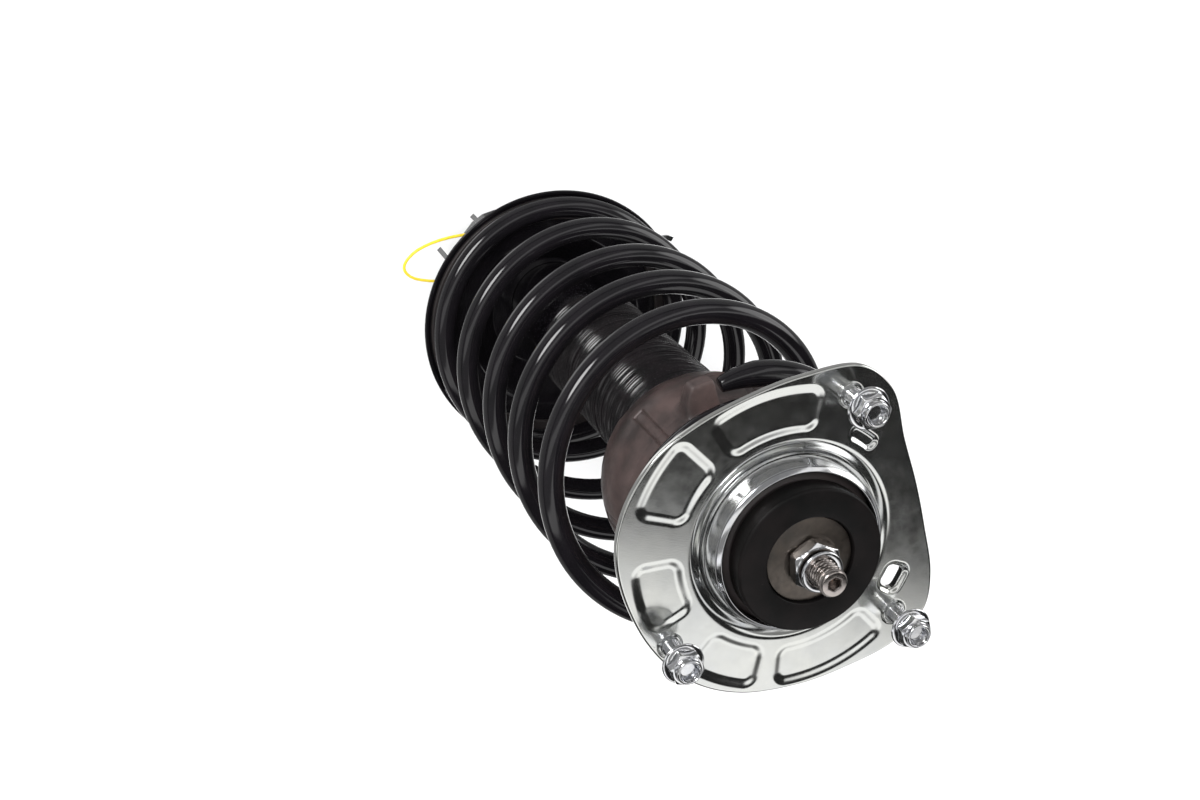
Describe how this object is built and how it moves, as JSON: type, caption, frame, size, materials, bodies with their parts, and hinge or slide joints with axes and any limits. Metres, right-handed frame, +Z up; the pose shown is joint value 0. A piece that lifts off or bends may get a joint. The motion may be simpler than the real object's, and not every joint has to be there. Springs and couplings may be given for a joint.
{
  "type": "suspension strut",
  "caption": "MacPherson strut: coil spring over a damper tube, with its rubber-bushed top mount, strut bearing, dust boot and welded brackets.",
  "frame": {"origin": "centre of the mount plate's upper face, on the damper rod's axis", "axes": "+Z up along the damper rod towards the car's body, +X from the rod axis to the first stud, and the strut hangs below z = 0"},
  "size_m": [0.1631, 0.1627, 0.4939],
  "materials": {
    "zinc_plate": "satin",
    "bright_zinc": "polished",
    "satin_black": "satin",
    "dark_washer": "satin",
    "rod_steel": "polished",
    "rubber": "matte",
    "gloss_black": "gloss",
    "boot_black": "satin",
    "bump_foam": "matte",
    "black_plastic": "satin",
    "ball_steel": "polished",
    "sintered": "matte",
    "ptfe": "satin",
    "yellow_tie": "gloss"
  },
  "bodies": {
    "top_mount": {"mount_plate": "zinc_plate", "bush_shell": "bright_zinc", "rubber_bush": "rubber", "inner_sleeve": "rod_steel", "rebound_disc": "satin_black", "dished_washer": "dark_washer", "rod_nut": "bright_zinc", "stud_1": "bright_zinc", "stud_2": "bright_zinc", "stud_3": "bright_zinc", "stud_nut_1": "bright_zinc", "stud_nut_2": "bright_zinc", "stud_nut_3": "bright_zinc", "bearing_upper_race": "black_plastic", "bump_stop_cup": "gloss_black", "bump_stop": "bump_foam", "piston_rod": "rod_steel", "rebound_stop_ring": "black_plastic", "rebound_valve_disc": "rod_steel", "piston": "sintered", "piston_ring": "ptfe", "compression_valve_disc": "rod_steel", "piston_nut": "rod_steel"},
    "bearing_balls": {"ball_cage": "ball_steel"},
    "upper_seat": {"bearing_lower_race": "black_plastic", "upper_spring_seat": "gloss_black", "upper_rubber_seat": "rubber", "dust_boot": "boot_black"},
    "strut_tube": {"outer_tube": "gloss_black", "striker_cap": "sintered", "oil_seal": "rubber", "rod_guide": "sintered", "guide_bush": "ptfe", "pressure_tube": "rod_steel", "base_valve_disc": "rod_steel", "base_valve_body": "sintered", "bottom_cap": "gloss_black", "lower_spring_seat": "gloss_black", "seat_weld_collar": "gloss_black", "lower_rubber_pad": "rubber", "coil_spring": "gloss_black", "knuckle_bracket": "gloss_black", "link_bracket": "gloss_black", "hose_bracket": "bright_zinc", "seal_tie": "yellow_tie"}
  },
  "joints": [
    {"name": "steer", "type": "hinge", "parent": "top_mount", "child": "upper_seat", "pos_m": [0, 0, 0], "axis": [0, 0, 1], "range_deg": [-40, 40]},
    {"name": "bearing_roll", "type": "hinge", "parent": "top_mount", "child": "bearing_balls", "pos_m": [0, 0, 0], "axis": [0, 0, 1], "range_deg": [-20, 20]},
    {"name": "compression", "type": "slide", "parent": "upper_seat", "child": "strut_tube", "axis": [0, 0, 1], "range_m": [0, 0.118], "stiffness_N_per_m": 22000, "springref_m": -0.03, "deforming": ["coil_spring", "dust_boot"]}
  ],
  "couplings": [
    {"joint": "bearing_roll", "follows": "steer", "ratio": 0.5}
  ]
}
